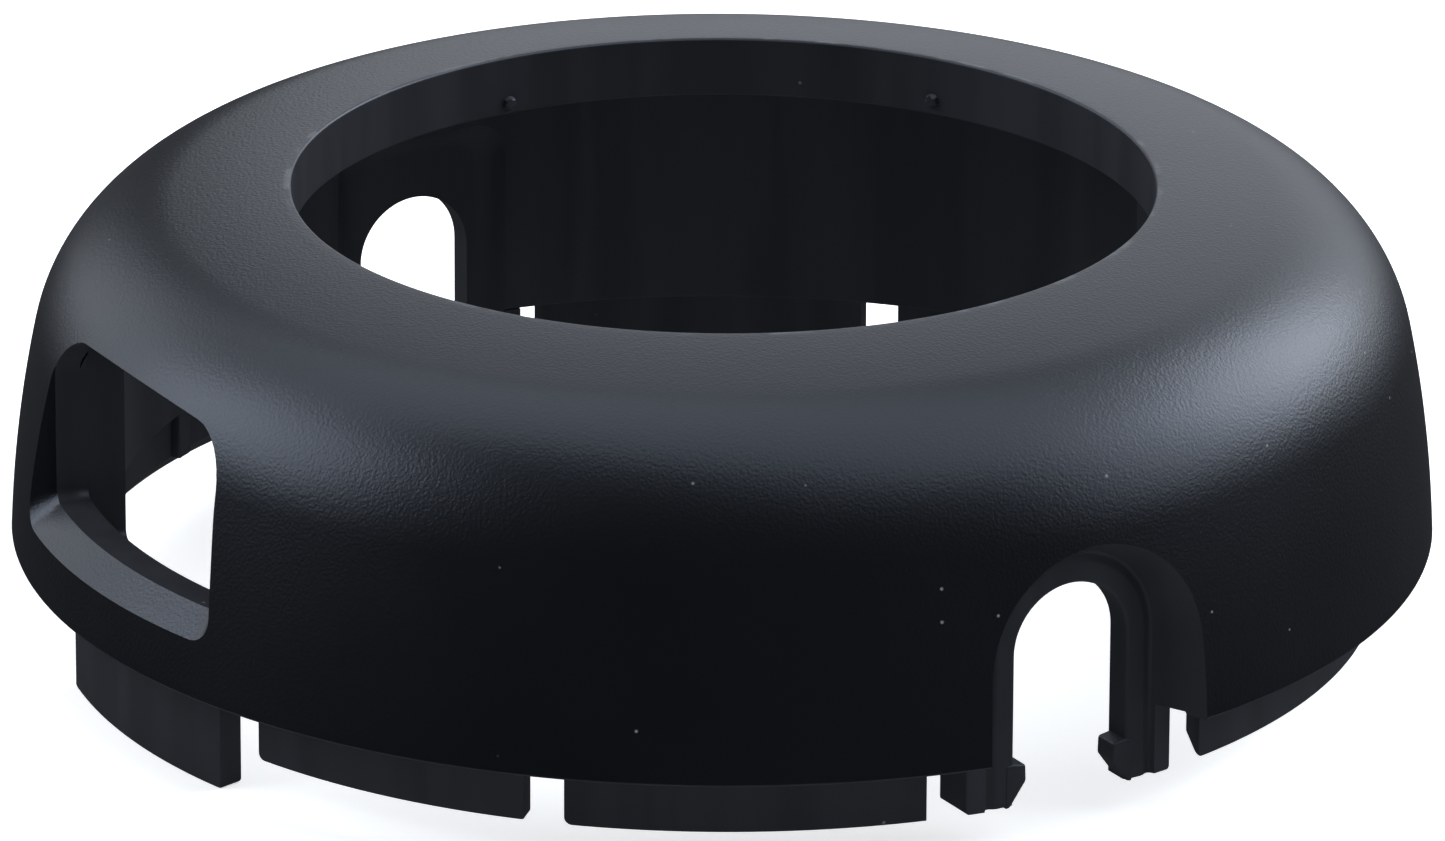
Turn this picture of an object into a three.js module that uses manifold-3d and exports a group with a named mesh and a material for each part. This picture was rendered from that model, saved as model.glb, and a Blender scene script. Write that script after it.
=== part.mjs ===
// Upper cover of a kitchen waste disposer: a domed ring that drops over the grinder's neck.
// Frame: +Z up, the axis of the ring on Z, the feet standing on z = 0. Millimetres and degrees.
// Azimuths turn anticlockwise seen from above and start at the front, -Y.

import * as THREE from 'three';
import { ConvexGeometry } from 'three/addons/geometries/ConvexGeometry.js';
import { mergeVertices } from 'three/addons/utils/BufferGeometryUtils.js';
import Module from 'manifold-3d';

// Overall
const RIM_R = 90; // outer radius of the dome at its lower rim
const HEIGHT = 59; // top of the dome above the feet
const OPEN_R = 54.3; // bore of the top opening
const WALL = 3; // dome, collar and panel thickness
const GAP = 0.3; // clearance between neighbouring solids

// Dome
const SHOULDER_R = 22.1; // radius of the shoulder between crown and side
const SHOULDER_SHARE = 0.62; // most of the crown's width that the shoulder may take
const HEADINGS = [0.084, 0.182, 1.362, 1.534]; // radians below level where each arc starts or ends
const RIM_Z = 13.75; // lower rim of the dome above the feet
const COLLAR_DEPTH = 7.8; // how far the collar hangs below the opening
const BORE_CHAMFER = 0.5;

// Liner and skirt
const SKIRT_STEP = 7.1; // from the rim in to the face of the skirt
const LINER_WALL = 5.9;
const LEDGE = 3; // width of the step that sits on the lower housing
const LEDGE_RISE = 1.15; // ledge above the dome's rim
const TAB_LIFT = 5; // short tabs stop this far above the feet
const SLOT_W = 5; // slots that part the skirt into tabs
const FOOT_SLOT_ANGLE = 15; // from the middle of a foot to the slot on each side of it
const FOOT_STAND_OUT = 1.7; // feet stand proud of the tabs
const FOOT_WALL = 3.6;
const FOOT_OVERLAP = 2; // feet run this far up behind the rim
const TAB_SPLIT_ANGLE = 45; // from the middle of a foot to the slot between two tabs
const RIB = { angle: -58, width: 3, height: 1.2, foot: 2.2 }; // rib inside the skirt, clear of its edge
const LEAD_IN = { angle: -43.5, halfAngle: 26.5, height: 2.6, edge: 0.4 }; // bevel beside the ribs

// Arches, one on each side
const ARCH_AZIMUTH = 31.3;
const ARCH_HALF_W = 8;
const ARCH_LINTEL = 24.2; // from the dome above the liner down to the arch's spring line
const PANEL_SET = 1.1; // panel face behind the liner's face
const RECESS_FOOT = 12; // half width of the outer recess at the panel
const RECESS_MOUTH = 15.2; // half width of the outer recess at the dome's face
const POCKET_FOOT = 10.5; // half width of the pocket inside, at the panel
const POCKET_TOP = 7.4; // pocket above the arch's crown, at the panel
const POCKET_CORNER = 3;

// Clip fingers, a pair below each arch
const FINGER_W = 6.7;
const FINGER_SLOT_W = 5;
const HOOK = { reach: 1.8, top: 4.6, nose: 2.2, leadIn: 1.3, slope: 0.4 }; // heights above the tip
const FINGER_RELIEF = 1.4; // chamfer at the root, which gives the finger room to bend
const TIP_CHAMFER = 1.2;
const RIDGE = { width: 1.5, height: 1 };

// Windows, one on each side
const WINDOW_AZIMUTH = -60;
const THROAT_HALF_W = 21.2;
const SILL_RISE = 10.6; // sill above the dome's rim
const WINDOW_H = 23.8; // sill to head
const WINDOW_CORNER = 4; // radius of the window's top corners
const SILL_DEPTH = 3.2; // level sill between the skirt's radius and its chamfer
const SILL_DROP = 0.9; // chamfer's fall for each millimetre outward
const SIDE_FLARE = 0.36; // mouth's widening for each millimetre outward
const LINER_CUT = 6; // liner's window reaches this far below the sill

const TURN_STEPS = 72; // facets round the axis
const ARCH_STEPS = 14;
const TWINS = [0, 180]; // everything is repeated half a turn away

// Sizes that follow
const LINER_R = RIM_R - SKIRT_STEP;
const LINER_IN_R = LINER_R - LINER_WALL;
const SKIRT_IN_R = LINER_IN_R + LEDGE;
const LEDGE_Z = RIM_Z + LEDGE_RISE;
const COLLAR_Z = HEIGHT - COLLAR_DEPTH;
const OUTSIDE = RIM_R + 10; // safely outside the part
const INSIDE = LINER_IN_R / 2; // safely inside the ring's wall
const PANEL_FACE = LINER_R - PANEL_SET;
const PANEL_BACK = PANEL_FACE - WALL;
const ARC_STEPS = [3, 9, 3];

const wasm = await Module();
wasm.setup();

const radians = THREE.MathUtils.degToRad;

// ---- Solids ----

/** A closed geometry as a solid that can be joined and cut. */
function solid(geometry) {
  const bare = geometry.clone();
  bare.deleteAttribute('normal');
  bare.deleteAttribute('uv');
  const merged = mergeVertices(bare, 1e-4);
  return new wasm.Manifold(new wasm.Mesh({
    numProp: 3,
    vertProperties: new Float32Array(merged.attributes.position.array),
    triVerts: new Uint32Array(merged.index.array),
  }));
}

/** The faces of a solid as a geometry with flat shading. */
function faces(body) {
  const mesh = body.getMesh();
  const indexed = new THREE.BufferGeometry();
  indexed.setAttribute('position', new THREE.BufferAttribute(new Float32Array(mesh.vertProperties), 3));
  indexed.setIndex(new THREE.BufferAttribute(new Uint32Array(mesh.triVerts), 1));
  const flat = indexed.toNonIndexed();
  flat.computeVertexNormals();
  return flat;
}

/** A ring turned about Z from a closed outline of [radius, height] points. */
function ring(outline) {
  const points = outline.map(([r, z]) => new THREE.Vector2(r, z));
  if (THREE.ShapeUtils.isClockWise(points)) points.reverse();
  points.push(points[0].clone());
  return solid(new THREE.LatheGeometry(points, TURN_STEPS).rotateX(Math.PI / 2));
}

/** A front outline of (across, height), pushed from one depth to another and turned to an azimuth. */
function push(shape, from, to, azimuth) {
  const geometry = new THREE.ExtrudeGeometry(shape, {
    depth: to - from, bevelEnabled: false, curveSegments: ARCH_STEPS,
  });
  return solid(geometry.translate(0, 0, from).rotateX(Math.PI / 2).rotateZ(radians(azimuth)));
}

/** A convex body between two front outlines at two depths, turned to an azimuth. */
function taper(near, nearDepth, far, farDepth, azimuth) {
  const place = (shape, depth) => shape.getPoints(ARCH_STEPS)
    .map((p) => new THREE.Vector3(p.x, -depth, p.y));
  const points = [...place(near, nearDepth), ...place(far, farDepth)];
  return solid(new ConvexGeometry(points).rotateZ(radians(azimuth)));
}

/** An upright wedge with its edge on the axis. */
function wedge(halfAngle, low, high, azimuth) {
  const half = OUTSIDE * Math.tan(radians(halfAngle));
  const shape = new THREE.Shape([[0, 0], [half, -OUTSIDE], [-half, -OUTSIDE]]
    .map(([x, y]) => new THREE.Vector2(x, y)));
  const geometry = new THREE.ExtrudeGeometry(shape, { depth: high - low, bevelEnabled: false });
  return solid(geometry.translate(0, 0, low).rotateZ(radians(azimuth)));
}

const joined = (bodies) => bodies.reduce((a, b) => a.add(b));
const forTwins = (make) => joined(TWINS.map(make));

// ---- Outlines ----

function rectangle(left, right, low, high) {
  return new THREE.Shape([[left, low], [right, low], [right, high], [left, high]]
    .map(([x, y]) => new THREE.Vector2(x, y)));
}

/** An arch with its foot at a height and a half-round crown. */
function archShape(halfWidth, foot, spring) {
  const shape = new THREE.Shape();
  shape.moveTo(-halfWidth, foot);
  shape.lineTo(halfWidth, foot);
  shape.lineTo(halfWidth, spring);
  shape.absarc(0, spring, halfWidth, 0, Math.PI, false);
  return shape;
}

/** A doorway with two rounded top corners. */
function doorShape(halfWidth, foot, top, corner) {
  const shape = new THREE.Shape();
  shape.moveTo(-halfWidth, foot);
  shape.lineTo(halfWidth, foot);
  shape.absarc(halfWidth - corner, top - corner, corner, 0, Math.PI / 2, false);
  shape.absarc(corner - halfWidth, top - corner, corner, Math.PI / 2, Math.PI, false);
  return shape;
}

/** The dome's face: three arcs that run into each other, from the opening to the rim. */
function domeArcs(inset) {
  const shoulder = Math.min(SHOULDER_R, SHOULDER_SHARE * (RIM_R - OPEN_R));
  const out = HEADINGS.slice(1).map((h, i) => Math.sin(h) - Math.sin(HEADINGS[i]));
  const down = HEADINGS.slice(1).map((h, i) => Math.cos(HEADINGS[i]) - Math.cos(h));
  const width = RIM_R - OPEN_R - shoulder * out[1];
  const drop = HEIGHT - RIM_Z - shoulder * down[1];
  const scale = out[0] * down[2] - out[2] * down[0];
  const crown = (width * down[2] - drop * out[2]) / scale;
  const side = (drop * out[0] - width * down[0]) / scale;
  let r = OPEN_R;
  let z = HEIGHT;
  return [crown, shoulder, side].map((radius, i) => {
    const [from, to] = [HEADINGS[i], HEADINGS[i + 1]];
    const arc = {
      r: r - radius * Math.sin(from), z: z - radius * Math.cos(from), radius: radius - inset, from, to,
    };
    r = arc.r + radius * Math.sin(to);
    z = arc.z + radius * Math.cos(to);
    return arc;
  });
}

/** Points along the dome's face, or along a surface inset from it, from the crown down. */
function domePoints(inset) {
  return domeArcs(inset).flatMap((arc, i) => {
    const steps = ARC_STEPS[i];
    const first = i === 0 ? 0 : 1;
    return Array.from({ length: steps + 1 - first }, (_, k) => {
      const heading = arc.from + (arc.to - arc.from) * (k + first) / steps;
      return [arc.r + arc.radius * Math.sin(heading), arc.z + arc.radius * Math.cos(heading)];
    });
  });
}

/** The height of the dome's face, or of an inset surface, at a radius. */
function domeHeight(radius, inset) {
  const points = domePoints(inset);
  const next = points.findIndex(([r]) => r >= radius);
  const [r0, z0] = points[next - 1];
  const [r1, z1] = points[next];
  return z0 + (z1 - z0) * (radius - r0) / (r1 - r0);
}

const SPRING_Z = domeHeight(LINER_R, 0) - ARCH_LINTEL;
const SILL_Z = RIM_Z + SILL_RISE;
const WINDOW_TOP = SILL_Z + WINDOW_H;

// ---- Windows ----

/** The level throat and flared mouth of a window, and the chamfer that falls away from its sill. */
function windowVoid(azimuth) {
  const throat = doorShape(THROAT_HALF_W, SILL_Z, WINDOW_TOP, WINDOW_CORNER);
  const run = OUTSIDE - PANEL_BACK;
  const mouthHalf = THROAT_HALF_W + SIDE_FLARE * run;
  const mouth = doorShape(mouthHalf, SILL_Z, WINDOW_TOP, WINDOW_CORNER);
  const sillEdge = LINER_R + SILL_DEPTH;
  const chamfer = ring([
    [sillEdge, SILL_Z], [OUTSIDE, SILL_Z - SILL_DROP * (OUTSIDE - sillEdge)], [OUTSIDE, SILL_Z + WALL],
    [sillEdge, SILL_Z + WALL],
  ]);
  const low = rectangle(-THROAT_HALF_W, THROAT_HALF_W, 0, SILL_Z + WALL);
  const wide = rectangle(-mouthHalf, mouthHalf, 0, SILL_Z + WALL);
  return joined([
    push(throat, INSIDE, OUTSIDE, azimuth),
    taper(throat, PANEL_BACK, mouth, OUTSIDE, azimuth),
    chamfer.intersect(taper(low, PANEL_BACK, wide, OUTSIDE, azimuth)),
  ]);
}

/** Solid stock round a window, to be cut back to the frame that joins dome and liner. */
function windowStock(azimuth) {
  const half = THROAT_HALF_W + WALL + SIDE_FLARE * SKIRT_STEP;
  return push(rectangle(-half, half, SILL_Z - WALL, HEIGHT), LINER_IN_R, OUTSIDE, azimuth);
}

// ---- Arches ----

const recessSlope = (RECESS_MOUTH - RECESS_FOOT) / (SKIRT_STEP - WALL + PANEL_SET);

/** The recess outside an arch, from the panel outward, wider by a margin on every side. */
function archRecess(margin, foot, azimuth) {
  const farHalf = RECESS_FOOT + recessSlope * (OUTSIDE - PANEL_FACE);
  const near = archShape(RECESS_FOOT + margin, foot, SPRING_Z);
  const far = archShape(farHalf + margin, foot, SPRING_Z);
  return taper(near, PANEL_FACE, far, OUTSIDE, azimuth);
}

/** The pocket inside an arch, from the back of the panel inward, with sides at 45 degrees. */
function archPocket(azimuth) {
  const run = PANEL_BACK - LINER_IN_R + WALL;
  const top = SPRING_Z + ARCH_HALF_W + POCKET_TOP;
  const near = doorShape(POCKET_FOOT, -WALL, top, POCKET_CORNER);
  const far = doorShape(POCKET_FOOT + run, -WALL, top + run, POCKET_CORNER + run);
  return taper(near, PANEL_BACK, far, PANEL_BACK - run, azimuth);
}

const archOpening = (azimuth) => push(
  archShape(ARCH_HALF_W, -WALL, SPRING_Z), INSIDE, OUTSIDE, azimuth,
);

// ---- Cover shell ----

function coverShell() {
  const collarOut = OPEN_R + WALL;
  const face = domePoints(0);
  const under = domePoints(WALL).filter(([r]) => r > collarOut + BORE_CHAMFER);
  const dome = ring([
    [OPEN_R, HEIGHT - BORE_CHAMFER], [OPEN_R + BORE_CHAMFER, domeHeight(OPEN_R + BORE_CHAMFER, 0)],
    ...face.slice(1), [RIM_R - WALL, RIM_Z], ...under.reverse().slice(1),
    [collarOut, domeHeight(collarOut, WALL)], [collarOut, COLLAR_Z], [OPEN_R, COLLAR_Z],
  ]);
  const inner = LINER_R + GAP;
  const stockRing = ring([
    [inner, RIM_Z], ...face.filter(([r]) => r > inner + BORE_CHAMFER).reverse(),
    [inner, domeHeight(inner, 0)],
  ]);
  const stock = forTwins((turn) => windowStock(WINDOW_AZIMUTH + turn)
    .add(archRecess(WALL, RIM_Z - WALL, ARCH_AZIMUTH + turn)));
  return dome.add(stock.intersect(stockRing))
    .subtract(forTwins((turn) => windowVoid(WINDOW_AZIMUTH + turn)))
    .subtract(forTwins((turn) => archRecess(0, -WALL, ARCH_AZIMUTH + turn)));
}

// ---- Liner ring with its skirt of tabs and feet ----

function foot(azimuth) {
  const outer = LINER_R + FOOT_STAND_OUT;
  const top = LEDGE_Z + FOOT_OVERLAP;
  const band = ring([[outer - FOOT_WALL, 0], [outer, 0], [outer, top], [outer - FOOT_WALL, top]]);
  return band.intersect(wedge(FOOT_SLOT_ANGLE, -WALL, top + WALL, azimuth));
}

/** The bevel inside a tab's lower edge. */
function leadIn(azimuth) {
  const inner = SKIRT_IN_R - WALL;
  const edge = LINER_R - LEAD_IN.edge;
  const top = TAB_LIFT + LEAD_IN.height;
  const band = ring([[inner, 0], [edge, 0], [edge, TAB_LIFT], [SKIRT_IN_R, top], [inner, top]]);
  return band.intersect(wedge(LEAD_IN.halfAngle, -WALL, LEDGE_Z, azimuth));
}

function rib(azimuth) {
  const shape = rectangle(-RIB.width / 2, RIB.width / 2, TAB_LIFT + RIB.foot, LEDGE_Z + GAP);
  return push(shape, SKIRT_IN_R - RIB.height, SKIRT_IN_R + LEDGE / 2, azimuth);
}

function skirtSlot(azimuth) {
  const shape = rectangle(-SLOT_W / 2, SLOT_W / 2, -WALL, LEDGE_Z);
  return push(shape, INSIDE, OUTSIDE, azimuth);
}

/** Everything below the ledge under an arch: the fingers' place and the slot on each side of them. */
function fingerBay(azimuth) {
  const half = ARCH_HALF_W + FINGER_W + FINGER_SLOT_W;
  return push(rectangle(-half, half, -WALL, LEDGE_Z), INSIDE, OUTSIDE, azimuth);
}

/** The gap in the liner behind a window, from below the sill to the liner's top. */
function linerWindow(azimuth) {
  const shape = rectangle(-THROAT_HALF_W, THROAT_HALF_W, SILL_Z - LINER_CUT, HEIGHT);
  return push(shape, INSIDE, OUTSIDE, azimuth);
}

function linerRing() {
  const inset = WALL + GAP;
  const top = domePoints(inset).filter(([r]) => r > LINER_IN_R + GAP && r < LINER_R - GAP);
  const wall = ring([
    [LINER_IN_R, LEDGE_Z], [SKIRT_IN_R, LEDGE_Z], [SKIRT_IN_R, TAB_LIFT], [LINER_R, TAB_LIFT],
    [LINER_R, domeHeight(LINER_R, inset)], ...top.reverse(), [LINER_IN_R, domeHeight(LINER_IN_R, inset)],
  ]);
  const bevels = forTwins((turn) => leadIn(WINDOW_AZIMUTH + LEAD_IN.angle + turn)
    .add(wedge(FOOT_SLOT_ANGLE, -WALL, LEDGE_Z, WINDOW_AZIMUTH + turn)));
  const added = forTwins((turn) => foot(WINDOW_AZIMUTH + turn)
    .add(rib(WINDOW_AZIMUTH + RIB.angle + turn)));
  const slots = forTwins((turn) => joined([-FOOT_SLOT_ANGLE, FOOT_SLOT_ANGLE, TAB_SPLIT_ANGLE]
    .map((angle) => skirtSlot(WINDOW_AZIMUTH + angle + turn))));
  const arches = forTwins((turn) => joined([
    archOpening(ARCH_AZIMUTH + turn), archPocket(ARCH_AZIMUTH + turn),
    archRecess(0, -WALL, ARCH_AZIMUTH + turn), fingerBay(ARCH_AZIMUTH + turn),
  ]));
  const windows = forTwins((turn) => linerWindow(WINDOW_AZIMUTH + turn));
  return wall.subtract(bevels).add(added).subtract(slots).subtract(arches).subtract(windows);
}

// ---- Clip fingers ----

/** Front outline of a finger: hook towards the slot, lead-in below it, relief at the root. */
function fingerShape(side) {
  const [slot, outer] = [ARCH_HALF_W, ARCH_HALF_W + FINGER_W];
  const tip = TAB_LIFT;
  const root = LEDGE_Z - GAP;
  const nose = slot - HOOK.reach;
  return new THREE.Shape([
    [slot, root - FINGER_RELIEF], [slot, tip + HOOK.top], [nose, tip + HOOK.top - HOOK.slope],
    [nose, tip + HOOK.nose], [nose + HOOK.leadIn, tip], [outer - TIP_CHAMFER, tip],
    [outer, tip + TIP_CHAMFER], [outer, root - FINGER_RELIEF], [outer - FINGER_RELIEF, root],
    [slot + FINGER_RELIEF, root],
  ].map(([x, z]) => new THREE.Vector2(side * x, z)));
}

/** A finger in the frame of its arch, on side -1 or +1: a slice of the liner's wall with a ridge. */
function finger(side) {
  const wall = ring([[LINER_IN_R, 0], [LINER_R, 0], [LINER_R, LEDGE_Z], [LINER_IN_R, LEDGE_Z]]);
  const slice = push(fingerShape(side), INSIDE, OUTSIDE, 0).intersect(wall);
  const ridgeEdges = [side * (RECESS_FOOT - RIDGE.width), side * RECESS_FOOT].sort((a, b) => a - b);
  const ridge = push(
    rectangle(...ridgeEdges, TAB_LIFT, RIM_Z - GAP), PANEL_FACE - GAP, PANEL_FACE + RIDGE.height, 0,
  );
  return slice.subtract(archPocket(0)).subtract(archRecess(0, -WALL, 0)).add(ridge);
}

// ---- Scene ----

const plastic = (color, roughness) => new THREE.MeshStandardMaterial({ color, roughness, metalness: 0 });
const grained = plastic(0x24252a, 0.62);
const satin = plastic(0x1e1f23, 0.5);

function part(name, body, material) {
  const mesh = new THREE.Mesh(faces(body), material);
  mesh.name = name;
  return mesh;
}

const cover = new THREE.Group();
cover.add(part('cover_shell', coverShell(), grained));
cover.add(part('liner_ring', linerRing(), satin));
for (const [turn, place] of [[0, 'front'], [180, 'back']]) {
  const pair = new THREE.Group();
  pair.rotation.z = radians(ARCH_AZIMUTH + turn);
  pair.add(part(`clip_finger_${place}_left`, finger(-1), satin));
  pair.add(part(`clip_finger_${place}_right`, finger(1), satin));
  cover.add(pair);
}

export default cover;
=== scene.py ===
"""The domed top cover of a kitchen waste disposer, in black moulded plastic.

A grained outer shell with two windows and two arched recesses, a satin inner ring with its skirt of
tabs, two long feet and four clip fingers. Sizes are in millimetres until a mesh is finished.
Azimuths are in degrees from the front, -Y, anticlockwise seen from above.
"""

import math

import bmesh
import bpy
from mathutils import Matrix, Vector


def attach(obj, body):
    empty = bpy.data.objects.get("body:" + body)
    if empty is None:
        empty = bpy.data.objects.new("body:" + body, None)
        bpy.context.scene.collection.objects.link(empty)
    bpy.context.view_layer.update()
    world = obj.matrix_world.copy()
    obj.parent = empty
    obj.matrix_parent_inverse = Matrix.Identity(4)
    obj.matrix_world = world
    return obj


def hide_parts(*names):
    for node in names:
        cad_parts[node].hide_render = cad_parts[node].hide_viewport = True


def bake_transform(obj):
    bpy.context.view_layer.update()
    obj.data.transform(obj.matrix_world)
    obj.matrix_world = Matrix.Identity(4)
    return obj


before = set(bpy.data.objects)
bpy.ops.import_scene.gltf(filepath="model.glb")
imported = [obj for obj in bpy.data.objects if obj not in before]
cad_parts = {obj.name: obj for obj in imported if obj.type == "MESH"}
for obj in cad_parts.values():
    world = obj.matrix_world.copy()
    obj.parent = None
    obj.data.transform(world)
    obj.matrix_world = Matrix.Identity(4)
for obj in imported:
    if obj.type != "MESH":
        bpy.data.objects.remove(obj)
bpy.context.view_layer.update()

MM = 0.001

# The frame's sizes, but for the panel's back and the windows' head, which follow the photo
RIM_R, RIM_Z = 90.0, 13.75
OPEN_R, HEIGHT = 54.3, 59.0
WALL = 3.0
COLLAR_Z = 51.2
LINER_IN_R, LINER_R = 77.0, 82.9
SKIRT_IN_R = 80.0
LEDGE_Z = 14.9
TAB_Z = 5.0
FOOT_IN_R, FOOT_R, FOOT_TOP = 81.0, 84.6, 16.9

ARCH_AZIMUTH, WINDOW_AZIMUTH = 31.3, -60.0
SPRING_Z = 24.4
ARCH_HALF = 8.0
PANEL_FACE, PANEL_BACK = 81.8, 78.2
FINGER_OUT = 14.7
BAY_HALF = 19.7
SLOT_HALF = 2.5
SILL_Z, HEAD_Z = 24.35, 47.9

TURN = 288  # facets round the axis


# ---- Camera ----


# The distance and the height aimed from in millimetres, the angles in degrees
CAMERA_AWAY, CAMERA_BASE = 1664.6, 5.0
CAMERA_UP, CAMERA_DIP, CAMERA_ROLL = 21.58, -0.70, 0.25
SENSOR_WIDTH, LENS = 36.0, 326.3


def add_camera():
    """The standpoint a little above the cover, far off, through a long lens."""
    up_angle, dip, tilt = (math.radians(a) for a in (CAMERA_UP, CAMERA_DIP, CAMERA_ROLL))
    back, rise = CAMERA_AWAY * math.cos(up_angle), CAMERA_AWAY * math.sin(up_angle)
    place = Vector((0, -back, rise + CAMERA_BASE)) * MM
    look = Vector((0, math.cos(up_angle + dip), -math.sin(up_angle + dip)))
    side = look.cross(Vector((0, 0, 1))).normalized()
    top = side.cross(look)
    right = math.cos(tilt) * side + math.sin(tilt) * top
    upright = -math.sin(tilt) * side + math.cos(tilt) * top
    data = bpy.data.cameras.new("camera")
    data.sensor_width = SENSOR_WIDTH
    data.lens = LENS
    data.clip_end = 20
    camera = bpy.data.objects.new("camera", data)
    turn = Matrix((right, upright, -look)).transposed().to_4x4()
    camera.matrix_world = Matrix.Translation(place) @ turn
    bpy.context.scene.collection.objects.link(camera)
    bpy.context.scene.camera = camera


add_camera()


# ---- Shader nodes ----


class Number:
    """A number that varies over a surface. Arithmetic on it adds Math nodes."""

    def __init__(self, finish, socket):
        self.finish = finish
        self.socket = socket

    def _with(self, operation, *values):
        plain = [v.socket if isinstance(v, Number) else v for v in values]
        inputs = dict(enumerate(plain))
        node = self.finish.node("ShaderNodeMath", {"operation": operation}, inputs)
        return Number(self.finish, node.outputs[0])

    def __add__(self, other):
        return self._with("ADD", self, other)

    __radd__ = __add__

    def __sub__(self, other):
        return self._with("SUBTRACT", self, other)

    def __mul__(self, other):
        return self._with("MULTIPLY", self, other)

    def root(self):
        return self._with("SQRT", self)

    def size(self):
        return self._with("ABSOLUTE", self)

    def rise(self, low, high):
        """0 below low, 1 above high, smooth between. With low above high it falls."""
        node = self.finish.node(
            "ShaderNodeMapRange",
            {"interpolation_type": "SMOOTHSTEP", "clamp": True},
            {"Value": self.socket, "From Min": low, "From Max": high, "To Min": 0.0, "To Max": 1.0},
        )
        return Number(self.finish, node.outputs["Result"])


class Finish:
    """One procedural material and its nodes."""

    def __init__(self, name, colour, roughness, specular, tint=(1, 1, 1)):
        self.material = bpy.data.materials.new(name)
        self.material.use_nodes = True
        self.tree = self.material.node_tree
        self.surface = self.tree.nodes["Principled BSDF"]
        self.surface.inputs["Base Color"].default_value = (*colour, 1)
        self.surface.inputs["Roughness"].default_value = roughness
        self.surface.inputs["Specular IOR Level"].default_value = specular
        self.surface.inputs["Specular Tint"].default_value = (*tint, 1)
        self.place = self.node("ShaderNodeTexCoord").outputs["Object"]

    def node(self, kind, settings=None, values=None):
        made = self.tree.nodes.new(kind)
        for key, value in (settings or {}).items():
            setattr(made, key, value)
        for key, value in (values or {}).items():
            if isinstance(value, Number):
                value = value.socket
            if isinstance(value, bpy.types.NodeSocket):
                self.tree.links.new(value, made.inputs[key])
            else:
                made.inputs[key].default_value = value
        return made

    def noise(self, scale, detail=2.0, roughness=0.5, at=None):
        values = {
            "Vector": at or self.place, "Scale": scale, "Detail": detail, "Roughness": roughness,
        }
        return Number(self, self.node("ShaderNodeTexNoise", {}, values).outputs["Fac"])

    def cells(self, scale, feature):
        """A Voronoi node's outputs, as they are."""
        values = {"Vector": self.place, "Scale": scale}
        return self.node("ShaderNodeTexVoronoi", {"feature": feature}, values).outputs

    def axes(self):
        parts = self.node("ShaderNodeSeparateXYZ", {}, {0: self.place})
        return [Number(self, parts.outputs[i]) for i in range(3)]

    def stretched(self, scale):
        values = {"Vector": self.place, "Scale": scale}
        return self.node("ShaderNodeMapping", {}, values).outputs["Vector"]

    def tint(self, mask, first, second):
        """A colour that goes from first to second with the mask. Either may be a link."""
        node = self.node("ShaderNodeMix", {"data_type": "RGBA"}, {"Factor": mask})
        for name, colour in (("A", first), ("B", second)):
            socket = [s for s in node.inputs if s.name == name and s.type == "RGBA"][0]
            if isinstance(colour, bpy.types.NodeSocket):
                self.tree.links.new(colour, socket)
            else:
                socket.default_value = (*colour, 1)
        return [s for s in node.outputs if s.type == "RGBA"][0]

    def feed(self, name, source):
        if isinstance(source, Number):
            source = source.socket
        self.tree.links.new(source, self.surface.inputs[name])

    def relief(self, height, depth, strength=1.0):
        values = {"Height": height, "Distance": depth, "Strength": strength}
        self.feed("Normal", self.node("ShaderNodeBump", {}, values).outputs["Normal"])


COOL = (0.76, 0.84, 1.0)  # the plastic's sheen leans to blue


def dust(finish):
    """Sparse pale specks, well under a millimetre."""
    cells = finish.cells(300.0, "F1")
    shade = finish.node("ShaderNodeSeparateColor", {}, {0: cells["Color"]})
    distance, pick = Number(finish, cells["Distance"]), Number(finish, shade.outputs[0])
    return distance.rise(0.085, 0.04) * pick.rise(0.90, 0.92)


def worn_bore(finish):
    """Rubbed patches on the top edge of the bore. The shader's lengths are in metres."""
    x, y, z = finish.axes()
    radius = (x * x + y * y).root()
    edge_radius = 0.0546
    ring = (radius - edge_radius).size().rise(0.0009, 0.0003) * z.rise(0.0575, 0.0583)
    return ring * finish.noise(160.0, 3.0).rise(0.50, 0.62)


def grained_plastic():
    """Black plastic with the fine leathery grain of an etched mould."""
    finish = Finish("grained_plastic", (0.004, 0.0042, 0.0052), 0.4, 0.5, COOL)
    broad = finish.noise(28.0, 2.0)
    pebble = Number(finish, finish.cells(2500.0, "SMOOTH_F1")["Distance"])
    fine = finish.noise(3600.0, 2.0, 0.6)
    height = pebble * 0.7 + fine * 0.6
    finish.relief(height, 0.000045, 1.0)
    finish.feed("Roughness", 0.31 + broad * 0.05 + fine * 0.06)
    darker, lighter = (0.0032, 0.0034, 0.0042), (0.0042, 0.0045, 0.0055)
    shade = finish.tint(broad.rise(0.3, 0.7), darker, lighter)
    shade = finish.tint(worn_bore(finish) * 0.5, shade, (0.09, 0.092, 0.1))
    finish.feed("Base Color", finish.tint(dust(finish) * 0.5, shade, (0.3, 0.3, 0.3)))
    return finish.material


def satin_plastic():
    """The same plastic from a polished mould: smooth, with faint flow marks."""
    finish = Finish("satin_plastic", (0.011, 0.0115, 0.0135), 0.42, 0.5, COOL)
    flow = finish.noise(1.0, 3.0, 0.6, at=finish.stretched((160.0, 160.0, 14.0)))
    fine = finish.noise(900.0, 3.0, 0.6)
    finish.relief(flow * 0.5 + fine * 0.5, 0.000008, 0.6)
    finish.feed("Roughness", 0.36 + flow * 0.10 + fine * 0.06)
    darker, lighter = (0.0150, 0.0156, 0.0185), (0.0195, 0.0200, 0.0235)
    shade = finish.tint(flow.rise(0.35, 0.65), darker, lighter)
    finish.feed("Base Color", finish.tint(dust(finish) * 0.35, shade, (0.25, 0.25, 0.25)))
    return finish.material


GRAIN = grained_plastic()
SATIN = satin_plastic()


# ---- Solids ----


def at(radius, height, azimuth):
    turn = math.radians(azimuth)
    return Vector((radius * math.sin(turn), -radius * math.cos(turn), height))


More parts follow.
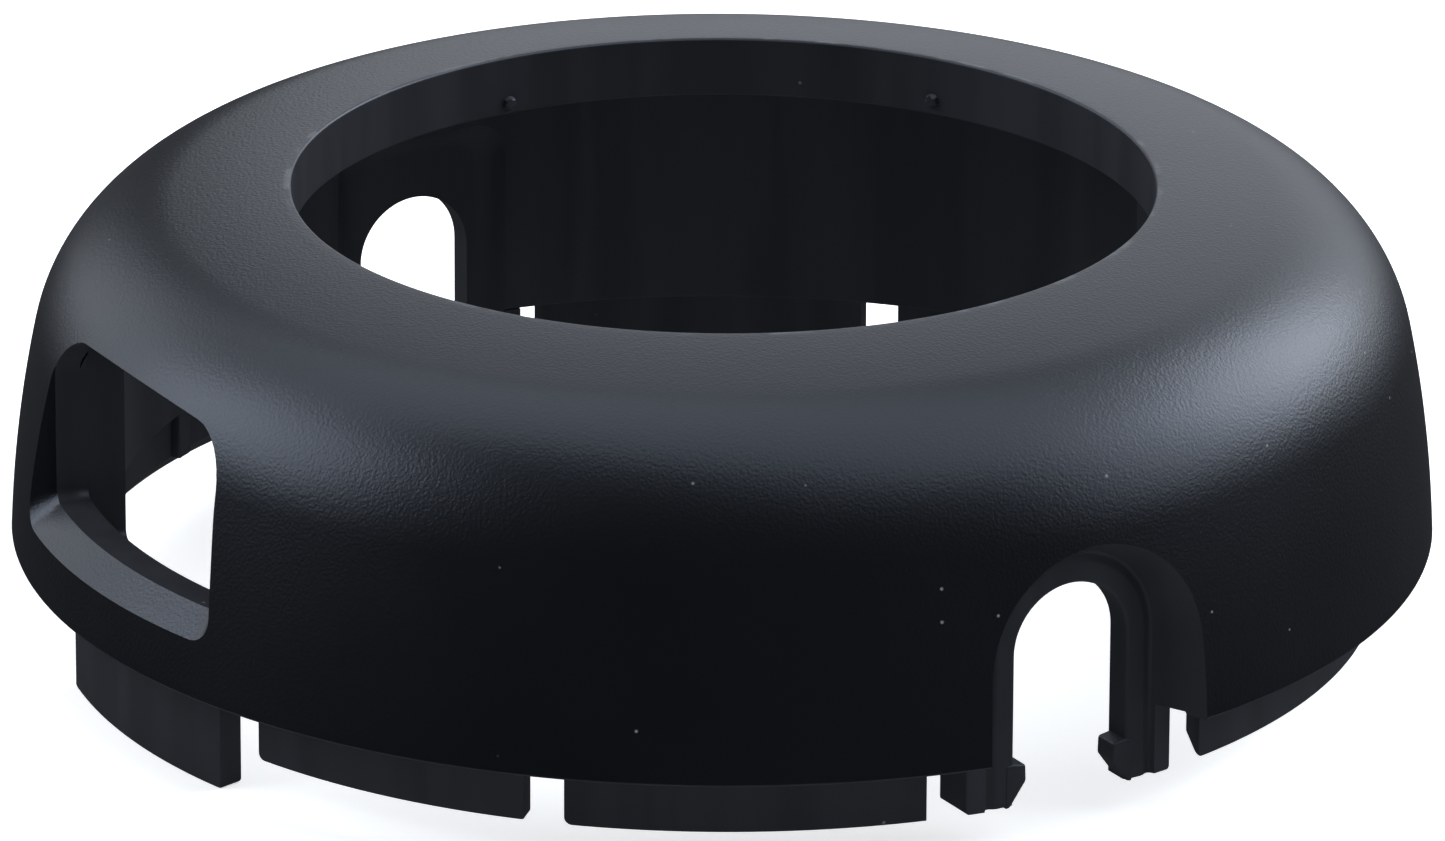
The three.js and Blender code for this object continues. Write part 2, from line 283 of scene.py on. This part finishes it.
def facing(azimuth):
    """From a local frame of across, outward and up to the cover's frame."""
    turn = math.radians(azimuth)
    across = Vector((math.cos(turn), math.sin(turn), 0))
    outward = Vector((math.sin(turn), -math.cos(turn), 0))
    return Matrix((across, outward, Vector((0, 0, 1)))).transposed().to_4x4()


def turned(bm, azimuth):
    """Puts a body made across, outward and up at its azimuth. The move mirrors it, so it is flipped."""
    bmesh.ops.transform(bm, matrix=facing(azimuth), verts=bm.verts)
    bmesh.ops.reverse_faces(bm, faces=bm.faces)
    return bm


def tidy_solid(bm):
    bmesh.ops.remove_doubles(bm, verts=bm.verts, dist=1e-4)
    bmesh.ops.recalc_face_normals(bm, faces=bm.faces)
    return bm


def spun_ring(outline):
    """A closed outline of (radius, height), spun all the way round Z."""
    bm = bmesh.new()
    verts = [bm.verts.new(at(r, z, 0)) for r, z in outline]
    edges = [bm.edges.new((a, b)) for a, b in zip(verts, verts[1:] + verts[:1])]
    bmesh.ops.spin(
        bm, geom=verts + edges, cent=(0, 0, 0), axis=(0, 0, 1), dvec=(0, 0, 0),
        angle=math.tau, steps=TURN, use_merge=True, use_duplicate=False,
    )
    return tidy_solid(bm)


def spun_sector(outline, start, end):
    """A closed outline spun about Z from one azimuth to another, closed at both ends."""
    bm = bmesh.new()
    face = bm.faces.new([bm.verts.new(at(r, z, start)) for r, z in outline])
    steps = max(2, round(abs(end - start) / 360 * TURN))
    bmesh.ops.spin(
        bm, geom=[face] + list(face.verts) + list(face.edges), cent=(0, 0, 0), axis=(0, 0, 1),
        dvec=(0, 0, 0), angle=math.radians(end - start), steps=steps, use_duplicate=False,
    )
    return tidy_solid(bm)


def extruded(outline, near, far):
    """A closed outline of (across, up), pushed outward from one depth to another."""
    bm = bmesh.new()
    face = bm.faces.new([bm.verts.new((x, near, z)) for x, z in outline])
    pushed = bmesh.ops.extrude_face_region(bm, geom=[face])["geom"]
    moved = [v for v in pushed if isinstance(v, bmesh.types.BMVert)]
    bmesh.ops.translate(bm, verts=moved, vec=(0, far - near, 0))
    return tidy_solid(bm)


def layered(layers):
    """A closed body through matching outlines of (across, height), each at its own depth."""
    depth, outline = layers[0]
    bm = bmesh.new()
    face = bm.faces.new([bm.verts.new((x, depth, z)) for x, z in outline])
    bm.faces.new([bm.verts.new((x, depth, z)) for x, z in outline])
    for depth, outline in layers[1:]:
        face = bmesh.ops.extrude_discrete_faces(bm, faces=[face])["faces"][0]
        for v, (x, z) in zip(face.verts, outline):
            v.co = (x, depth, z)
    bmesh.ops.triangulate(bm, faces=[f for f in bm.faces if len(f.verts) > 4])
    return tidy_solid(bm)


def soften(bm, offset, segments=2, limit=35.0, edges=None):
    """Rounds the edges given, or every edge sharper than the limit."""
    if edges is None:
        edges = [
            e for e in bm.edges
            if len(e.link_faces) == 2 and e.calc_face_angle(0) > math.radians(limit)
        ]
    bmesh.ops.bevel(
        bm, geom=edges, offset=offset, offset_type="OFFSET", segments=segments, profile=0.5,
        affect="EDGES", material=-1, clamp_overlap=True,
    )
    return bm


def to_object(name, bm, *materials):
    mesh = bpy.data.meshes.new(name)
    bm.to_mesh(mesh)
    bm.free()
    for material in materials:
        mesh.materials.append(material)
    thing = bpy.data.objects.new(name, mesh)
    bpy.context.scene.collection.objects.link(thing)
    return thing


def carve(thing, tools, operation="DIFFERENCE"):
    """Cuts the tools out of a thing; the cut faces take the tools' material."""
    for tool in tools:
        cut = thing.modifiers.new("cut", "BOOLEAN")
        cut.object = tool
        cut.operation = operation
        cut.solver = "EXACT"
        cut.material_mode = "TRANSFER"
    graph = bpy.context.evaluated_depsgraph_get()
    mesh = bpy.data.meshes.new_from_object(thing.evaluated_get(graph))
    thing.modifiers.clear()
    old = thing.data
    thing.data = mesh
    bpy.data.meshes.remove(old)
    return thing


def gather(name, things):
    """One object from several, its meshes side by side."""
    bm = bmesh.new()
    materials = []
    for thing in things:
        first = len(bm.faces)
        bm.from_mesh(thing.data)
        bm.faces.ensure_lookup_table()
        order = []
        for material in thing.data.materials:
            if material not in materials:
                materials.append(material)
            order.append(materials.index(material))
        for face in bm.faces[first:]:
            face.material_index = order[min(face.material_index, len(order) - 1)]
    for thing in things:
        bpy.data.objects.remove(thing)
    return to_object(name, bm, *materials)


def finish_piece(thing, crease=28.0):
    """Metres, smooth shading with creases, and weighted normals so that the mesh shades evenly."""
    mesh = thing.data
    mesh.transform(Matrix.Scale(MM, 4))
    mesh.polygons.foreach_set("use_smooth", [True] * len(mesh.polygons))
    mesh.set_sharp_from_angle(angle=math.radians(crease))
    even = thing.modifiers.new("even shading", "WEIGHTED_NORMAL")
    even.keep_sharp = True
    even.weight = 60
    mesh.update()
    return thing


# ---- The dome's outline ----


HEADINGS = [0.084, 0.182, 1.362, 1.534]
SHOULDER_R = 22.1


def dome_arcs():
    """The three arcs of the dome's face as (centre radius, centre height, radius, from, to)."""
    out = [math.sin(b) - math.sin(a) for a, b in zip(HEADINGS, HEADINGS[1:])]
    down = [math.cos(a) - math.cos(b) for a, b in zip(HEADINGS, HEADINGS[1:])]
    width = RIM_R - OPEN_R - SHOULDER_R * out[1]
    drop = HEIGHT - RIM_Z - SHOULDER_R * down[1]
    scale = out[0] * down[2] - out[2] * down[0]
    crown = (width * down[2] - drop * out[2]) / scale
    side = (drop * out[0] - width * down[0]) / scale
    arcs, r, z = [], OPEN_R, HEIGHT
    for radius, start, end in zip((crown, SHOULDER_R, side), HEADINGS, HEADINGS[1:]):
        middle = (r - radius * math.sin(start), z - radius * math.cos(start))
        arcs.append((*middle, radius, start, end))
        r, z = middle[0] + radius * math.sin(end), middle[1] + radius * math.cos(end)
    return arcs


ARCS = dome_arcs()


def dome_line(inset, steps=(9, 26, 14)):
    """Points down the dome's face, or down a surface inset from it."""
    points = []
    for (r, z, radius, start, end), count in zip(ARCS, steps):
        for k in range(0 if not points else 1, count + 1):
            heading = start + (end - start) * k / count
            reach = radius - inset
            points.append((r + reach * math.sin(heading), z + reach * math.cos(heading)))
    return points


def dome_height(radius, inset):
    points = dome_line(inset)
    for (r0, z0), (r1, z1) in zip(points, points[1:]):
        if r1 >= radius:
            return z0 + (z1 - z0) * (radius - r0) / (r1 - r0)
    return points[-1][1]


# ---- Tools that cut the windows and arches ----


TOOL_IN, TOOL_OUT, TOOL_FOOT = 70, 102, -12.0  # past the cover on every side

ARCH_ROLL = 0.5  # rounding of the arch's front edge
# Half width and depth: the groove where the panel meets the recess, and a point up the flare
GROOVE = [(10.4, 81.75), (10.9, 81.6), (11.3, 81.35), (11.65, 81.3), (12.0, 81.5), (12.25, 81.95)]
FLARE_HALF, FLARE_DEPTH = 15.1, 87.8


def arch_section():
    """Half width and depth along an arch's edge: opening, rolled edge, panel, groove, flare."""
    roll_start = PANEL_FACE - ARCH_ROLL
    section = [(ARCH_HALF, TOOL_IN), (ARCH_HALF, roll_start)]
    for k in range(1, 7):
        turn = math.pi / 2 * k / 6
        half = ARCH_HALF + ARCH_ROLL * (1 - math.cos(turn))
        section.append((half, roll_start + ARCH_ROLL * math.sin(turn)))
    half, depth = GROOVE[-1]
    slope = (FLARE_HALF - half) / (FLARE_DEPTH - depth)
    return section + GROOVE + [(half + slope * (TOOL_OUT - depth), TOOL_OUT)]


def arch_loop(half):
    """An arch's outline as (across, height): two legs and a half-round crown."""
    turns = [math.pi * k / 40 for k in range(41)]
    crown = [(half * math.cos(t), SPRING_Z + half * math.sin(t)) for t in turns]
    return [(half, TOOL_FOOT), *crown, (-half, TOOL_FOOT)]


def arch_tool(azimuth):
    """Everything an arch takes away, from the opening out to the mouth of its recess."""
    bm = layered([(depth, arch_loop(half)) for half, depth in arch_section()])
    return to_object("arch_tool", turned(bm, azimuth), SATIN)


POCKET_RUN, POCKET_HALF, POCKET_TOP = 9.0, 10.4, 39.8
POCKET_CORNER, POCKET_FLOOR = 3.6, 1.4  # its roundings


def pocket_tool(azimuth):
    """The pocket inside an arch: a tapered block with rounded corners and a rounded floor."""
    bm = bmesh.new()
    bmesh.ops.create_cube(bm, size=2)
    for v in bm.verts:
        spread = 0 if v.co.y > 0 else POCKET_RUN
        v.co = Vector((
            math.copysign(POCKET_HALF + spread, v.co.x),
            PANEL_BACK - spread,
            POCKET_TOP + spread if v.co.z > 0 else TOOL_FOOT,
        ))
    corners = [
        e for e in bm.edges
        if all(v.co.z > 0 for v in e.verts) and e.verts[0].co.x * e.verts[1].co.x > 0
    ]
    soften(bm, POCKET_CORNER, 8, edges=corners)
    floor = [
        e for e in bm.edges
        if all(abs(v.co.y - PANEL_BACK) < 1e-3 for v in e.verts) and max(v.co.z for v in e.verts) > 0
    ]
    soften(bm, POCKET_FLOOR, 5, edges=floor)
    return to_object("pocket_tool", turned(tidy_solid(bm), azimuth), SATIN)


def stepped(table, radius):
    """A value read from a short list of (radius, value), straight between them."""
    for (r0, v0), (r1, v1) in zip(table, table[1:]):
        if radius <= r1:
            return v0 + (v1 - v0) * (radius - r0) / (r1 - r0)
    return table[-1][1]


# A window by radius: half its angle, the height of its sill and the rounding of its lower corners
JAMB = [(68, 17.9), (76.2, 16.0), (81.7, 14.9), (84, 14.6), (86.6, 14.7), (88.4, 15.35), (97, 18.0)]
SILL = [(68, 18.0), (81.9, 18.0), (82.0, SILL_Z), (86.1, SILL_Z), (89.8, 21.0), (97, 14.5)]
CORNER = [(68, 1.2), (82.0, 1.2), (86.1, 2.2), (89.8, 3.6), (97, 4.6)]
HEAD_BOW = 0.003  # the head falls away to each side with the square of the distance
SILL_EDGE_R = 82  # the sill starts here, and the head's corners open out
THROAT_CORNER, MOUTH_CORNER = 2.5, 6.2
WINDOW_LEVELS = [68, 76.2, 79, 81.7, 81.9, 82.0, 84, 86.1, 87.2, 88.4, 89.6, 89.8, 93, 97]
GRAINED_R = 86  # the sides of a window are grained beyond it
WINDOW_TRIM = -0.2  # degrees, from the frame's azimuth to the photo's


def window_loop(radius):
    """A rounded opening's outline at one radius, as (azimuth from the middle, height)."""
    half = math.radians(stepped(JAMB, radius)) * radius
    low, corner = stepped(SILL, radius), stepped(CORNER, radius)
    top_corner = max(corner, THROAT_CORNER if radius < SILL_EDGE_R else MOUTH_CORNER)
    points = []
    for cx, cz, size, start in (
        (half, low, corner, -90), (half, HEAD_Z, top_corner, 0),
        (-half, HEAD_Z, top_corner, 90), (-half, low, corner, 180),
    ):
        mx = cx - math.copysign(size, cx)
        mz = cz + size if cz == low else cz - size
        for k in range(9):
            turn = math.radians(start + 90 * k / 8)
            points.append((mx + size * math.cos(turn), mz + size * math.sin(turn)))
    rows = []
    for (x0, z0), (x1, z1) in zip(points, points[1:] + points[:1]):
        steps = 22 if abs(x1 - x0) > 12 else 1  # only the head and the sill are long
        rows += [(x0 + (x1 - x0) * k / steps, z0 + (z1 - z0) * k / steps) for k in range(steps)]
    rows = [(x, z - HEAD_BOW * x * x * max(0, z - low) / (HEAD_Z - low)) for x, z in rows]
    return [(math.degrees(x / radius), z) for x, z in rows]


def window_tool(azimuth):
    """A window's throat, sill and flared mouth, bent round the axis."""
    bm = layered([(radius, window_loop(radius)) for radius in WINDOW_LEVELS])
    for face in bm.faces:
        face.material_index = int(face.calc_center_median().y > GRAINED_R)
    for v in bm.verts:
        v.co = at(v.co.y, v.co.z, azimuth + WINDOW_TRIM + v.co.x)
    return to_object("window_tool", tidy_solid(bm), SATIN, GRAIN)


# ---- Pieces ----


def shell_outline():
    """The shell's section: rounded bore edge, dome, rim, inner skin and collar."""
    top = [(OPEN_R, COLLAR_Z + 0.25), (OPEN_R, 58.55), (OPEN_R + 0.06, 58.76), (OPEN_R + 0.2, 58.9),
           (OPEN_R + 0.42, 58.965)]
    skin = [p for p in dome_line(0) if p[0] > OPEN_R + 0.6][:-1]
    rim = [(RIM_R, RIM_Z + 0.3), (RIM_R - 0.08, RIM_Z + 0.1), (RIM_R - 0.3, RIM_Z),
           (RIM_R - WALL + 0.3, RIM_Z), (RIM_R - WALL + 0.02, RIM_Z + 0.3)]
    collar_out = OPEN_R + WALL
    under = [p for p in dome_line(WALL, (6, 18, 10)) if p[0] > collar_out + 1.2][:-1]
    collar = [(collar_out + 0.9, dome_height(collar_out + 0.9, WALL)), (collar_out + 0.25, 55.3),
              (collar_out, 54.6), (collar_out, COLLAR_Z + 0.25), (collar_out - 0.25, COLLAR_Z),
              (OPEN_R + 0.25, COLLAR_Z)]
    return top + skin + rim + under[::-1] + collar


STOCK_INSET = 1.6  # the stock's outside lies in the middle of the skin
# Half angle, foot and head of the stock
WINDOW_STOCK = (17.6, 20.6, 51.0)
ARCH_STOCK = (13.2, RIM_Z + 0.4, 42.5)
GATE_MARKS = ((-149.3, 52.7), (150.3, 53.1))  # azimuth and height


def surround(azimuth, half_angle, low, high):
    """Stock behind the shell's skin, between it and the inner ring, for a window or recess."""
    line = [p for p in dome_line(STOCK_INSET) if p[0] > LINER_R and low < p[1] < high]
    top = min(high, dome_height(LINER_R, STOCK_INSET))
    outline = [(LINER_R, low), (line[-1][0], low), *line[::-1], (LINER_R, top)]
    bm = spun_sector(outline, azimuth - half_angle, azimuth + half_angle)
    return to_object("surround", bm, SATIN)


def cover_shell(windows, arches):
    bm = spun_ring(shell_outline())
    for face in bm.faces:
        # only the dome's outside is grained: its faces all look a little upward
        inside = face.normal.z < 0.02 or face.calc_center_median().xy.length < OPEN_R + 0.3
        face.material_index = int(inside)
    skin = to_object("skin", bm, GRAIN, SATIN)
    stock = []
    for turn in (0, 180):
        stock.append(surround(WINDOW_AZIMUTH + turn, *WINDOW_STOCK))
        stock.append(surround(ARCH_AZIMUTH + turn, *ARCH_STOCK))
    carve(skin, stock, "UNION")
    parts = [carve(skin, windows + arches)]
    for piece in stock:
        bpy.data.objects.remove(piece)
    for azimuth, height in GATE_MARKS:
        parts.append(gate_mark(azimuth, height))
    return gather("cover_shell_moulding", parts)


def gate_mark(azimuth, height):
    """The stub left where the runner was broken off the collar's bore."""
    bm = bmesh.new()
    bmesh.ops.create_cone(
        bm, cap_ends=True, segments=14, radius1=1.15, radius2=0.7, depth=1.0,
        matrix=Matrix.Rotation(math.radians(90), 4, "X"),
    )
    for k, v in enumerate(bm.verts):
        v.co *= 1 + 0.12 * math.sin(5.1 * k)
    soften(bm, 0.15, 1)
    place = facing(azimuth) @ Matrix.Translation((0, OPEN_R - 0.1, height))
    bmesh.ops.transform(bm, matrix=place, verts=bm.verts)
    tidy_solid(bm)
    return to_object("gate_mark", bm, SATIN)


def liner_outline():
    """The inner ring's section, from the ledge up to just under the shell."""
    inset, edge = WALL + 0.3, 0.35
    line = [p for p in dome_line(inset) if LINER_IN_R + 0.2 < p[0] < LINER_R - 0.2]
    return [
        (LINER_IN_R, LEDGE_Z + edge), (LINER_IN_R + 0.1, LEDGE_Z + 0.1), (LINER_IN_R + edge, LEDGE_Z),
        (LINER_R, LEDGE_Z), (LINER_R, dome_height(LINER_R, inset)), *line[::-1],
        (LINER_IN_R, dome_height(LINER_IN_R, inset)),
    ]


# Where the skirt is parted: the middle of each gap and half its width. A gap's walls are parallel.
GAPS = [(-75, SLOT_HALF), (-45, SLOT_HALF), (-15, SLOT_HALF), (ARCH_AZIMUTH, BAY_HALF)]


def plane_of(azimuth, offset):
    """A point and normal of the upright plane beside a gap's middle."""
    turn = math.radians(azimuth)
    across = Vector((math.cos(turn), math.sin(turn), 0))
    return across * offset, across


def skirt_tab(outline, start, end, left_corner, right_corner):
    """A curved tab between two gaps, with its lower corners and every edge rounded."""
    bm = spun_sector(outline, start[0], end[0])
    bottom = min(z for _, z in outline)
    for (azimuth, half), side in ((start, 1), (end, -1)):
        point, normal = plane_of(azimuth, side * half)
        bmesh.ops.bisect_plane(
            bm, geom=bm.verts[:] + bm.edges[:] + bm.faces[:], dist=1e-4, plane_co=point,
            plane_no=normal * -side, clear_outer=True,
        )
        bmesh.ops.holes_fill(bm, edges=[e for e in bm.edges if e.is_boundary])
    for (azimuth, half), side, corner in ((start, 1, left_corner), (end, -1, right_corner)):
        point, normal = plane_of(azimuth, side * half)
        low = [
            e for e in bm.edges
            if all(abs((v.co - point).dot(normal)) < 1e-3 and v.co.z < bottom + 0.02 for v in e.verts)
        ]
        soften(bm, corner, 6, edges=low)
    soften(bm, 0.28, 2, 40)
    return to_object("tab", tidy_solid(bm), SATIN)


RIB_AZIMUTH, RIB_HALF, RIB_FOOT = -118, 1.5, 7.4
RIB_IN, RIB_OUT = 78.8, 81.5


def rib(azimuth):
    """A locating rib inside the skirt, hanging from the ledge."""
    top = LEDGE_Z + 0.3
    outline = [(-RIB_HALF, RIB_FOOT), (RIB_HALF, RIB_FOOT), (RIB_HALF, top), (-RIB_HALF, top)]
    bm = extruded(outline, RIB_IN, RIB_OUT)
    soften(bm, 0.35, 3, 40)
    return to_object("rib", turned(bm, azimuth), SATIN)


def liner_ring(windows, arches, pockets):
    liner = to_object("liner", spun_ring(liner_outline()), SATIN)
    parts = [carve(liner, windows + arches + pockets)]
    join = LEDGE_Z + 0.6
    plain = [(SKIRT_IN_R, TAB_Z), (LINER_R - 0.02, TAB_Z), (LINER_R - 0.02, join), (SKIRT_IN_R, join)]
    bevelled = [(SKIRT_IN_R, TAB_Z + 2.6), (LINER_R - 0.4, TAB_Z), (LINER_R - 0.02, TAB_Z),
                (LINER_R - 0.02, join), (SKIRT_IN_R, join)]
    foot = [(FOOT_IN_R, 0), (FOOT_R, 0), (FOOT_R, FOOT_TOP), (FOOT_IN_R, FOOT_TOP)]
    for turn in (0, 180):
        gaps = [(azimuth + turn, half) for azimuth, half in GAPS]
        after = (GAPS[0][0] + 180 + turn, GAPS[0][1])
        parts.append(skirt_tab(foot, gaps[0], gaps[1], 0.5, 0.5))
        parts.append(skirt_tab(plain, gaps[1], gaps[2], 2.4, 0.4))
        parts.append(skirt_tab(plain, gaps[2], gaps[3], 1.6, 0.8))
        parts.append(skirt_tab(bevelled, gaps[3], after, 0.7, 0.7))
        parts.append(rib(RIB_AZIMUTH + turn))
    return gather("liner_ring_moulding", parts)


HOOK = [(9.2, 10.4), (8.0, 10.4), (6.3, 10.1), (6.2, 7.9), (8.5, 4.7), (9.2, 4.6)]
FINGER_IN = 7.6  # inside the arch's edge, so that the arch cuts the finger's side


def hook(side, azimuth):
    """The hook on a finger's inner side, with its lead-in below."""
    bm = extruded([(side * x, z) for x, z in HOOK], PANEL_BACK + 0.05, PANEL_FACE + 0.1)
    soften(bm, 0.35, 3, 25)
    return to_object("hook", turned(bm, azimuth), SATIN)


def clip_finger(name, azimuth, side, arch, pocket):
    """A clip finger: a slice of the ring below the ledge, cut by the arch, with its hook."""
    ring = [(LINER_IN_R, TAB_Z), (LINER_R, TAB_Z), (LINER_R, LEDGE_Z), (LINER_IN_R, LEDGE_Z)]
    span = (azimuth + 4, azimuth + 12) if side > 0 else (azimuth - 12, azimuth - 4)
    body = to_object("finger", spun_sector(ring, *span), SATIN)
    low, high = TAB_Z - 1, LEDGE_Z + 1
    outline = [(FINGER_IN, low), (FINGER_OUT, low), (FINGER_OUT, high), (FINGER_IN, high)]
    slab = extruded([(side * x, z) for x, z in outline], TOOL_IN, RIM_R)
    mask = to_object("mask", turned(slab, azimuth), SATIN)
    carve(body, [mask], "INTERSECT")
    carve(body, [arch, pocket])
    bpy.data.objects.remove(mask)
    bm = bmesh.new()
    bm.from_mesh(body.data)
    bmesh.ops.remove_doubles(bm, verts=bm.verts, dist=1e-3)
    bmesh.ops.transform(bm, matrix=facing(azimuth).inverted(), verts=bm.verts)
    corner = [
        e for e in bm.edges
        if all(v.co.z < TAB_Z + 0.01 and abs(abs(v.co.x) - FINGER_OUT) < 0.02 for v in e.verts)
    ]
    soften(bm, 1.2, 5, edges=corner)
    bmesh.ops.transform(bm, matrix=facing(azimuth), verts=bm.verts)
    bm.to_mesh(body.data)
    bm.free()
    finger = gather(name, [body, hook(side, azimuth)])
    bm = bmesh.new()
    bm.from_mesh(finger.data)
    for k in range(1, 10):  # rows of points down the finger
        bmesh.ops.bisect_plane(
            bm, geom=bm.verts[:] + bm.edges[:] + bm.faces[:], dist=1e-5,
            plane_co=(0, 0, LEDGE_Z - k), plane_no=(0, 0, 1),
        )
    bm.to_mesh(finger.data)
    bm.free()
    return finger


def build_cover():
    windows = [window_tool(WINDOW_AZIMUTH + turn) for turn in (0, 180)]
    arches = [arch_tool(ARCH_AZIMUTH + turn) for turn in (0, 180)]
    pockets = [pocket_tool(ARCH_AZIMUTH + turn) for turn in (0, 180)]
    shell = finish_piece(cover_shell(windows, arches))
    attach(shell, "cover")
    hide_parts("cover_shell")
    ring = finish_piece(liner_ring(windows, arches, pockets))
    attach(ring, "cover")
    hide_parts("liner_ring")
    for which, place in enumerate(("front", "back")):
        azimuth = ARCH_AZIMUTH + 180 * which
        for side, hand in ((-1, "left"), (1, "right")):
            finger = clip_finger(
                f"finger_{place}_{hand}", azimuth, side, arches[which], pockets[which],
            )
            finish_piece(finger)
            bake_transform(finger)
            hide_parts(f"clip_finger_{place}_{hand}")
    for tool in windows + arches + pockets:
        bpy.data.objects.remove(tool)


build_cover()


# ---- Studio ----


def floor_finish():
    finish = Finish("studio_paper", (0.92, 0.92, 0.92), 0.9, 0.1)
    finish.surface.inputs["Emission Color"].default_value = (1, 1, 1, 1)
    finish.surface.inputs["Emission Strength"].default_value = 0.6
    shade = finish.tint(finish.noise(3.0, 3.0), (0.90, 0.90, 0.905), (0.93, 0.93, 0.93))
    finish.feed("Base Color", shade)
    return finish.material


def add_floor():
    bm = bmesh.new()
    bmesh.ops.create_grid(bm, x_segments=1, y_segments=1, size=6000)
    floor = to_object("studio_floor", bm, floor_finish())
    floor.data.transform(Matrix.Scale(MM, 4))
    floor.visible_glossy = False


def add_light(name, place, aim, size, power, colour=(1, 1, 1)):
    data = bpy.data.lights.new(name, "AREA")
    data.shape = "RECTANGLE"
    data.size, data.size_y = size
    data.energy = power
    data.color = colour
    light = bpy.data.objects.new(name, data)
    aimed = (Vector(aim) - Vector(place)).to_track_quat("-Z", "Y")
    light.matrix_world = Matrix.Translation(place) @ aimed.to_matrix().to_4x4()
    bpy.context.scene.collection.objects.link(light)


SKY = (0.88, 0.93, 1.0)


def add_world():
    world = bpy.data.worlds.new("studio")
    world.use_nodes = True
    background = world.node_tree.nodes["Background"]
    background.inputs["Color"].default_value = (0.9, 0.94, 1.0, 1)
    background.inputs["Strength"].default_value = 0.03
    bpy.context.scene.world = world


bpy.context.scene.view_settings.view_transform = "Standard"
add_floor()
add_world()
add_light("overhead", (0.1, 0.15, 1.5), (0, 0, 0.04), (2.8, 1.4), 21, SKY)
add_light("back", (0.75, 1.5, 0.7), (0, 0, 0.03), (2.5, 1.5), 13, SKY)
add_light("back_left", (-1.25, 1.0, 0.6), (0, 0, 0.03), (1.4, 1.1), 6.5, SKY)
add_light("left", (-1.4, 0.0, 0.85), (0, 0, 0.03), (1.2, 1.0), 15, SKY)
add_light("back_right", (1.3, 0.75, 0.85), (0, 0, 0.03), (1.1, 1.0), 20, SKY)
add_light("right", (1.5, -0.1, 0.85), (0, 0, 0.03), (1.1, 1.0), 9, SKY)
